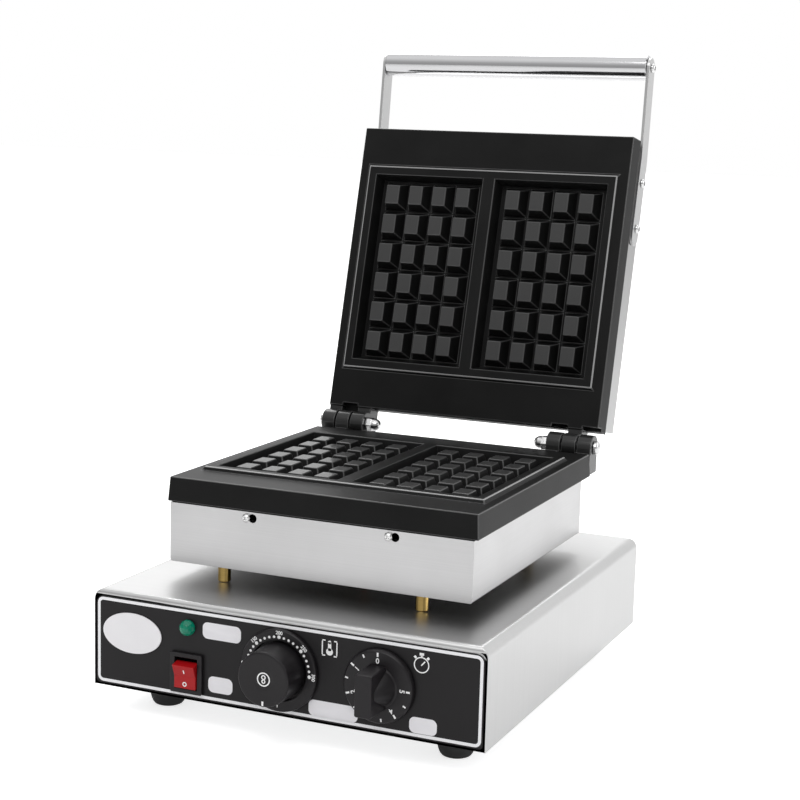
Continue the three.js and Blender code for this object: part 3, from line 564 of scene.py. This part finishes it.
red_plastic = moulded("red_plastic", (0.34, 0.004, 0.006), (0.46, 0.007, 0.010), 0.28,
                      depth=0.00001, gloss=0.3)
rocker = from_node("power_switch_rocker")
round_edges(rocker, sharp_edges(rocker, 15), 0.5 * MM, 3)
make_piece("switch_rocker", rocker, "power_rocker", red_plastic, "power_switch_rocker")

# The rocker's two faces meet in a crease; the lower one stands upright while it is pressed in.
ROCKER_TILT = math.radians(22)
CREASE_AHEAD = 4.42 * MM  # of the housing's front
CREASE_UP = 13.57 * MM  # above the bezel's foot
low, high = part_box("power_switch_rocker")
crease = Vector(((low.x + high.x) / 2, front_y - CREASE_AHEAD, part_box("power_switch_body")[0].z + CREASE_UP))
rocker_marks = bmesh.new()
ink_bar(rocker_marks, (0, 2.6), (0, 5.8), 0.9)
bmesh.ops.rotate(rocker_marks, matrix=Matrix.Rotation(ROCKER_TILT, 3, "X"), verts=rocker_marks.verts)
ink_disc(rocker_marks, (0, -6.0), 1.8, 1.0)
print_on("rocker_marks", rocker_marks, "power_rocker", crease, white_material)

# ---- Temperature dial -----------------------------------------------------------------------
# A fixed scale ring moulded in black and printed with dots and figures, round a black moulded
# knob with a dished front that pushes on the thermostat's shaft.

# Fronts, in millimetres ahead of the film.
RING_FRONT = 4.0
KNOB_FRONT = 27.0
KNOB_DISH = 25.9
low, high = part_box("temperature_scale_ring")
dial_at = Vector(((low.x + high.x) / 2, high.y, (low.z + high.z) / 2))
scale_ring = bmesh.new()
turned_profile(scale_ring, ((22.8, 0), (30.6, 0), (31, 0.4), (31, 2.4), (30.8, 3.2), (30.2, 3.8),
                            (29.6, 4.0), (23.4, 4.0), (22.9, 3.8), (22.8, 3.4), (22.8, 0)),
               dial_at, FORWARD, 96)
finish_turning(scale_ring)
make_piece("dial_scale", scale_ring, "base", black_plastic, "temperature_scale_ring")

# Ten degrees of heat to a dot; the dots run back from the hottest, a little below level.
HOTTEST = 300
DOT_TURN = 9
HOTTEST_TURN = -1.3
DOT_RADIUS = 25.5
FIGURE_RADIUS = 28.6
scale_marks = bmesh.new()
for step in range(26):
    angle = math.radians(DOT_TURN * step + HOTTEST_TURN)
    big = step % 5 == 0
    spot = (DOT_RADIUS * math.cos(angle), DOT_RADIUS * math.sin(angle))
    ink_disc(scale_marks, spot, 1.35 if big else 1.0, sides=16)
    if big:
        ink_text(scale_marks, str(HOTTEST - 10 * step), 3.7,
                 (FIGURE_RADIUS * math.cos(angle), FIGURE_RADIUS * math.sin(angle)), angle - math.pi / 2)
ink_bar(scale_marks, (0, -25.0), (0, -27.4), 0.7)
print_on("dial_figures", scale_marks, "base", dial_at + Vector((0, -RING_FRONT * MM, 0)), white_material)

knob = bmesh.new()
turned_profile(knob, ((0, 0.6), (20.8, 0.6), (21, 0.9), (20.9, 8), (20.6, 20), (20.4, 25.4),
                      (20.2, 26.2), (19.7, 26.8), (19.0, 27.0), (17.5, 27.0), (9, 26.4), (7.2, 26.1),
                      (6.4, 25.9), (0, 25.9)), dial_at, FORWARD, 96)
finish_turning(knob)
make_piece("temperature_grip", knob, "temperature_dial", black_plastic, "temperature_knob", sharp=50)

knob_marks = bmesh.new()
ink_disc(knob_marks, (0, 0), 5.2, 4.3, sides=48)
ink_disc(knob_marks, (0, 1.5), 1.8, 1.0)
ink_disc(knob_marks, (0, -1.5), 1.6, 0.8)
print_on("knob_symbol", knob_marks, "temperature_dial", dial_at + Vector((0, -KNOB_DISH * MM, 0)),
         white_material)
index = bmesh.new()
ink_bar(index, (0, -16.0), (0, -19.2), 1.5)
print_on("knob_index", index, "temperature_dial", dial_at + Vector((0, -KNOB_FRONT * MM, 0)),
         white_material)

# ---- Timer knob -----------------------------------------------------------------------------
# A black skirt printed with the minutes, moulded in one with a bar to turn it by. It pushes
# on the timer's shaft.

# In millimetres: across, fore and aft, and up.
GRIP_SIZE = (12.8, 24.2, 31)
GRIP_MIDDLE = 17.5  # ahead of the film, as are the next two
GRIP_FRONT = 29
SKIRT_FRONT = 5.4
TIMER_X = 79 * MM
HALF_MINUTE = 27  # degrees of turn
low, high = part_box("timer_knob")
timer_at = Vector((TIMER_X, dial_at.y, (low.z + high.z) / 2))
timer = bmesh.new()
turned_profile(timer, ((0, 0.6), (26.9, 0.6), (27.3, 1.0), (27.2, 2.6), (26.7, 4.2), (25.9, 5.1),
                       (25.0, SKIRT_FRONT), (15.6, SKIRT_FRONT), (14.4, 6.2), (6.8, 24.6), (0, 25)),
               timer_at, FORWARD, 96)
finish_turning(timer)
grip = bmesh.new()
made = bmesh.ops.create_cube(grip, size=1)["verts"]
bmesh.ops.scale(grip, vec=[size * MM for size in GRIP_SIZE], verts=made)
bmesh.ops.translate(grip, vec=timer_at + Vector((0, -GRIP_MIDDLE * MM, 0)), verts=made)
root = [v for v in grip.verts if v.co.y > timer_at.y - GRIP_MIDDLE * MM]
bmesh.ops.scale(grip, vec=(1.1, 1, 1.04), space=Matrix.Translation(-timer_at), verts=root)
upright = [e for e in grip.edges if abs(e.verts[0].co.y - e.verts[1].co.y) > 10 * MM]
round_edges(grip, upright, 1.6 * MM, 5)
round_edges(grip, [e for e in grip.edges if all(v.co.y < timer_at.y - GRIP_FRONT * MM for v in e.verts)],
            1.0 * MM, 4)
grip_mesh = bpy.data.meshes.new("grip")
grip.to_mesh(grip_mesh)
grip.free()
timer.from_mesh(grip_mesh)
bpy.data.meshes.remove(grip_mesh)
make_piece("timer_grip", timer, "timer_dial", black_plastic, "timer_knob")

timer_marks = bmesh.new()
for step in range(11):
    angle = math.radians(90 + HALF_MINUTE * step)
    ray = Vector((math.cos(angle), math.sin(angle)))
    if step % 2:
        ink_bar(timer_marks, ray * 22.8, ray * 25.2, 1.2)
    else:
        ink_bar(timer_marks, ray * 22.4, ray * 25.4, 1.4)
        ink_text(timer_marks, str(step // 2), 5.4, ray * 19.2, angle - math.pi / 2)
print_on("timer_figures", timer_marks, "timer_dial", timer_at + Vector((0, -SKIRT_FRONT * MM, 0)),
         white_material)

# ---- Pillars --------------------------------------------------------------------------------
# Four turned brass pillars stand on the base and carry the tray. Each is drilled and tapped at
# its end, for a screw.

brass = Finish("turned_brass")
rings = brass.noise((40, 40, 3000))
brass_material = brass.surface(
    Base_Color=brass.tint(rings, (0.56, 0.36, 0.09), (0.86, 0.62, 0.24)),
    Metallic=1.0, Roughness=0.06 + rings * 0.08)
for corner in CORNERS:
    low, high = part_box(f"pillar_{corner}")
    tall = (high.z - low.z) / MM
    pillar = bmesh.new()
    turned_profile(pillar, ((0, 0), (4.4, 0), (5, 0.6), (5, tall - 0.6), (4.4, tall), (2.2, tall),
                            (2.2, tall - 6), (0, tall - 7)),
                   ((low.x + high.x) / 2, (low.y + high.y) / 2, low.z), (0, 0, 1))
    finish_turning(pillar)
    make_piece(f"brass_pillar_{corner}", pillar, "base", brass_material, f"pillar_{corner}")

# ---- Heater box -----------------------------------------------------------------------------
# A folded stainless tray round the lower plate, which holds the lower element. Its underside is painted dark,
# as painted shade, and an attribute marks those faces.

tray_finish = Finish("brushed_tray")
hair = tray_finish.noise((STREAKS, STREAKS, HAIR_LINES), detail=3)
cloud = tray_finish.noise((14, 14, 14), detail=3)
scorched = tray_finish.node("Attribute", {"attribute_name": "scorched"}, {}, "Fac")
lustre = hair * 0.08 + cloud * 0.16 + 0.45
# The underside's colour is painted darker, as painted shade, and it is rougher there.
tray_steel = tray_finish.surface(
    Base_Color=tray_finish.tint(lustre - scorched * 0.6, (0.06, 0.055, 0.05), (0.99, 0.99, 1.0)),
    Metallic=1.0, Roughness=0.18 + lustre * 0.2 + scorched * 0.2, Normal=tray_finish.bump(hair, 0.000004))
tray = from_node("heater_box")
underside_layer = tray.faces.layers.float.new("scorched")
# Faces looking down get the painted shade.
for face in tray.faces:
    face[underside_layer] = 1.0 if face.normal.z < -0.9 else 0.0
round_edges(tray, sharp_edges(tray, 60), 0.2 * MM, 2)
make_piece("heater_tray", tray, "base", tray_steel, "heater_box")

# ---- Screws ---------------------------------------------------------------------------------
# Bright plated pan-head screws with cross recesses: two in the tray's front, two at the side
# of each arm, and one into each end of the handle.

plated = Finish("bright_plating")
haze = plated.noise((500, 500, 500))
plated_material = plated.surface(
    Base_Color=plated.tint(haze, (0.66, 0.66, 0.66), (0.86, 0.86, 0.86)),
    Metallic=1.0, Roughness=0.10 + haze * 0.15)
refinish(plated_material, *(f"pillar_screw_{corner}" for corner in CORNERS))


def cross_recess(bm, centre, axis, reach, half_width, depth):
    """Sinks a cross into the flat faces that look along the axis."""
    axis = Vector(axis)
    side = axis.orthogonal().normalized()
    for across in (side, axis.cross(side)):
        for offset in (-reach, -half_width, half_width, reach):
            bmesh.ops.bisect_plane(bm, geom=bm.verts[:] + bm.edges[:] + bm.faces[:],
                                   plane_co=centre + across * offset, plane_no=across)
    arms = []
    bm.normal_update()
    for face in bm.faces:
        spot = face.calc_center_median() - centre
        a, b = abs(spot.dot(side)), abs(spot.dot(axis.cross(side)))
        if face.normal.dot(axis) > 0.99 and min(a, b) < half_width and max(a, b) < reach:
            arms.append(face)
    sunk = bmesh.ops.extrude_face_region(bm, geom=arms)["geom"]
    bmesh.ops.translate(bm, vec=-axis * depth, verts=[v for v in sunk if isinstance(v, bmesh.types.BMVert)])
    bmesh.ops.delete(bm, geom=[f for f in arms if f.is_valid], context="FACES")


def pan_screw(node, body, axis, radius, height, shank):
    """A pan-head screw with a cross recess, its head outermost along the axis."""
    low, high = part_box(node)
    axis = Vector(axis)
    middle = (low + high) / 2
    reach = abs((high - low).dot(axis)) / 2
    seat = middle + axis * (reach - height * MM)
    length = 2 * reach / MM - height
    screw = bmesh.new()
    turned_profile(screw, ((0, -length), (shank, -length), (shank, 0), (radius - 0.2, 0), (radius, 0.2),
                           (radius, height * 0.35), (radius * 0.93, height * 0.62),
                           (radius * 0.8, height * 0.85), (radius * 0.66, height), (0, height)),
                   seat, axis, 40)
    finish_turning(screw)
    cross_recess(screw, seat, axis, radius * 0.52 * MM, radius * 0.12 * MM, height * 0.5 * MM)
    make_piece(f"{node}_head", screw, body, plated_material, node)


# Head radius, head height and shank radius, in millimetres.
TRAY_SCREW = (3.4, 2.4, 1.8)
ARM_SCREW = (3.9, 2.5, 1.9)
SIDES = (("left", -1), ("right", 1))
for side, outward in SIDES:
    pan_screw(f"heater_box_screw_{side}", "base", FORWARD, *TRAY_SCREW)
    pan_screw(f"handle_screw_{side}", "lid", (outward, 0, 0), *ARM_SCREW)
    for end in ("rear", "front"):
        pan_screw(f"arm_screw_{side}_{end}", "lid", (outward, 0, 0), *ARM_SCREW)

# ---- Hinge bolts and nuts -------------------------------------------------------------------
# The lid turns on two plated steel bolts with smooth round heads, and a plated dome nut closes
# each bolt's inner end.

for side, outward in SIDES:
    low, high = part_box(f"hinge_bolt_{side}")
    axis = Vector((outward, 0, 0))
    middle = (low + high) / 2
    reach = (high.x - low.x) / 2 / MM
    bolt = bmesh.new()
    turned_profile(bolt, ((0, -reach), (2.6, -reach), (3, -reach + 0.4), (3, reach - 4.7),
                          (5.5, reach - 4.7), (5.8, reach - 4.4), (5.8, reach - 2.6), (5.4, reach - 1.6),
                          (4.4, reach - 0.8), (2.6, reach - 0.2), (0, reach)), middle, axis, 48)
    finish_turning(bolt)
    make_piece(f"round_head_bolt_{side}", bolt, "base", plated_material, f"hinge_bolt_{side}")
    low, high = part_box(f"hinge_nut_{side}")
    middle = (low + high) / 2
    reach = (high.x - low.x) / 2 / MM
    nut = bmesh.new()
    turned_profile(nut, ((0, -reach), (1.6, 0.3 - reach), (3.2, 1.1 - reach), (4.4, 2.3 - reach),
                         (5.2, 4 - reach), (5.5, 6 - reach), (5.5, reach - 5), (3.4, reach - 5),
                         (3.4, 3 - reach), (0, 3 - reach)), middle, axis, 48)
    finish_turning(nut)
    hexagon = bmesh.ops.create_cone(nut, cap_ends=True, segments=6, radius1=6.4 * MM, radius2=6.4 * MM,
                                    depth=6 * MM)["verts"]
    bmesh.ops.rotate(nut, matrix=Matrix.Rotation(math.pi / 2, 3, "Y"), verts=hexagon)
    bmesh.ops.translate(nut, vec=middle + axis * (reach - 3) * MM, verts=hexagon)
    round_edges(nut, [e for e in nut.edges if all(v in hexagon for v in e.verts)], 0.5 * MM, 3)
    make_piece(f"dome_nut_{side}", nut, "base", plated_material, f"hinge_nut_{side}")

# ---- Inside the housing ---------------------------------------------------------------------
# Moulded thermostat, terminal block, lamp body and gland, the zinc plated timer and heat
# shields, the copper bulb and tube, and the sheathed elements, all screwed or clipped in place.

cream = moulded("cream_moulding", (0.60, 0.56, 0.46), (0.70, 0.66, 0.55), 0.5)
white_moulding = moulded("white_moulding", (0.66, 0.66, 0.62), (0.76, 0.76, 0.72), 0.5)
sheath = Finish("heat_darkened_sheath")
bloom = sheath.noise((60, 60, 60), detail=3)
sheath_material = sheath.surface(
    Base_Color=sheath.tint(bloom, (0.09, 0.07, 0.06), (0.24, 0.20, 0.16)),
    Metallic=0.9, Roughness=0.4 + bloom * 0.2)
copper = Finish("drawn_copper")
drawn = copper.noise((400, 400, 60))
copper_material = copper.surface(
    Base_Color=copper.tint(drawn, (0.50, 0.20, 0.09), (0.75, 0.36, 0.19)),
    Metallic=1.0, Roughness=0.25 + drawn * 0.2)
refinish(cream, "thermostat_body", "terminal_block")
refinish(white_moulding, "pilot_lamp_body")
refinish(black_plastic, "cable_gland")
refinish(sheath_material, "lower_heating_element", "upper_heating_element")
refinish(copper_material, "thermostat_bulb", "thermostat_capillary")
refinish(zinc_material, "timer_body", "lower_heat_shield", "upper_heat_shield")
refinish(plated_material, "thermostat_shaft", "timer_shaft")

# ---- Cooking plates -------------------------------------------------------------------------
# Two identical sand castings with a black non-stick coating. Their arrises are rounded in the casting, and the
# coating is painted lighter there and on the crowns, as painted highlights.

# Values of the attribute that paints the coating lighter, a painted highlight on crowns and arrises. The
# coating is glossy above the first.
GLOSSY_FROM = 0.3
LUG_GLOSS = 0.32
CROWN_HIGHLIGHT = 0.63
ARRIS_HIGHLIGHT = 0.8
RIM_HIGHLIGHT = 1.9
coating = Finish("nonstick_casting")
sand = coating.noise((900, 900, 900), detail=3)
patch = coating.noise((22, 22, 22), detail=3)
worn = coating.node("Attribute", {"attribute_name": "worn"}, {}, "Fac")
# The coating's colour is painted lighter where the attribute is higher, as painted highlights; above
# GLOSSY_FROM it also gets a clear coat.
coating_material = coating.surface(
    Base_Color=coating.tint(worn * worn * 0.27 + patch * 0.03, (0.005, 0.005, 0.005), (0.30, 0.30, 0.30)),
    Roughness=0.34 + patch * 0.12, Specular_IOR_Level=0.12, Coat_Weight=(worn > GLOSSY_FROM) * 0.7,
    Coat_Roughness=0.14, Normal=coating.bump(sand, 0.00002))


def hollow(face):
    """True for a fillet, whose neighbours rise above it; false for a rounded arris."""
    centre = face.calc_center_median()
    return sum((other.calc_center_median() - centre).dot(face.normal)
               for edge in face.edges for other in edge.link_faces) > 0


ARRIS_RADIUS = 0.8 * MM
CROWN_AREA = (190, 240)  # square millimetres, the least and the most
BROAD_AREA = 400  # square millimetres, more than any crown
RIM_DROP = 0.9 * MM
RIM_REACH = 1.5 * MM
LUG_RADIUS = 14 * MM
LEAN = math.radians(15)  # of the open lid, back from upright
pin = sum(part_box("hinge_bolt_left"), Vector()) / 2
for node, name, body, up in (
        ("lower_plate", "lower_casting", "base", Vector((0, 0, 1))),
        ("upper_plate", "upper_casting", "lid", Vector((0, -math.cos(LEAN), math.sin(LEAN))))):
    plate = from_node(node)
    highlight_layer = plate.faces.layers.float.get("worn")
    along = Vector((1, 0, 0)).cross(up)
    level = [face for face in plate.faces if face.normal.dot(up) > 0.99]
    # Crowns get a painted highlight.
    for face in level:
        if CROWN_AREA[0] < face.calc_area() / MM ** 2 < CROWN_AREA[1]:
            face[highlight_layer] = CROWN_HIGHLIGHT
    broad = [v.co.copy() for face in level if face.calc_area() > BROAD_AREA * MM ** 2
             for v in face.verts]
    rim_top = max(place.dot(up) for place in broad)
    rim = [place for place in broad if rim_top - place.dot(up) < 0.1 * MM]
    rim_side = max(abs(place.x) for place in rim) - RIM_REACH
    rim_ends = [pick(place.dot(along) for place in rim) for pick in (min, max)]
    round_edges(plate, sharp_edges(plate, 30), ARRIS_RADIUS, 3)
    # Rounded arrises get a painted highlight, the rim's outer arris the brightest; fillets get none.
    for face in plate.faces:
        centre = face.calc_center_median()
        if face[highlight_layer] == 1.0:
            from_end = min(abs(centre.dot(along) - end) for end in rim_ends)
            at_rim = abs(centre.dot(up) - rim_top) < RIM_DROP and (
                abs(centre.x) > rim_side or from_end < RIM_REACH)
            face[highlight_layer] = 0.0 if hollow(face) else RIM_HIGHLIGHT if at_rim else ARRIS_HIGHLIGHT
        elif math.hypot(centre.y - pin.y, centre.z - pin.z) < LUG_RADIUS:
            face[highlight_layer] = LUG_GLOSS
    make_piece(name, plate, body, coating_material, node)

# ---- Lid cover ------------------------------------------------------------------------------
# A shallow tray of brushed stainless steel, folded at its sides, that closes the back of the
# upper plate.

# The lid's steel is a darker copy of the housing's brushed steel, as painted shade.
shaded_lid_steel = brushed("brushed_lid_shaded", (STREAKS, HAIR_LINES, STREAKS), shade=0.48)
lid_cover = from_node("lid_cover")
round_edges(lid_cover, sharp_edges(lid_cover, 60), 0.2 * MM, 2)
make_piece("lid_tray", lid_cover, "lid", shaded_lid_steel, "lid_cover")

# ---- Lid arms -------------------------------------------------------------------------------
# Two flat bars of brushed steel with softened edges, screwed to the lid's sides, that reach up
# past it to carry the handle.

arm_steel = brushed("brushed_arm", (STREAKS, HAIR_LINES, STREAKS), shade=0.62)
for side, _ in SIDES:
    arm = from_node(f"arm_{side}")
    round_edges(arm, sharp_edges(arm, 60), 0.3 * MM, 2)
    make_piece(f"lid_arm_{side}", arm, "lid", arm_steel, f"arm_{side}")

# ---- Handle ---------------------------------------------------------------------------------
# A chromed tube between the arms, chamfered at its ends and held by a screw into each, to lift
# the lid by.

CHAMFER = 0.6
chrome = Finish("chromed_tube")
haze = chrome.noise((20, 400, 400))
chrome_material = chrome.surface(
    Base_Color=chrome.tint(haze, (0.62, 0.62, 0.63), (0.70, 0.70, 0.71)),
    Metallic=1.0, Roughness=0.07 + haze * 0.05)
low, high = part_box("handle_tube")
tube = bmesh.new()
half = (high.x - low.x) / 2 / MM
radius = (high.z - low.z) / 2 / MM
turned_profile(tube, ((0, -half), (radius - CHAMFER, -half), (radius, -half + CHAMFER),
                      (radius, half - CHAMFER), (radius - CHAMFER, half), (0, half)),
               (low + high) / 2, (1, 0, 0), 64)
finish_turning(tube)
make_piece("handle_bar", tube, "lid", chrome_material, "handle_tube")
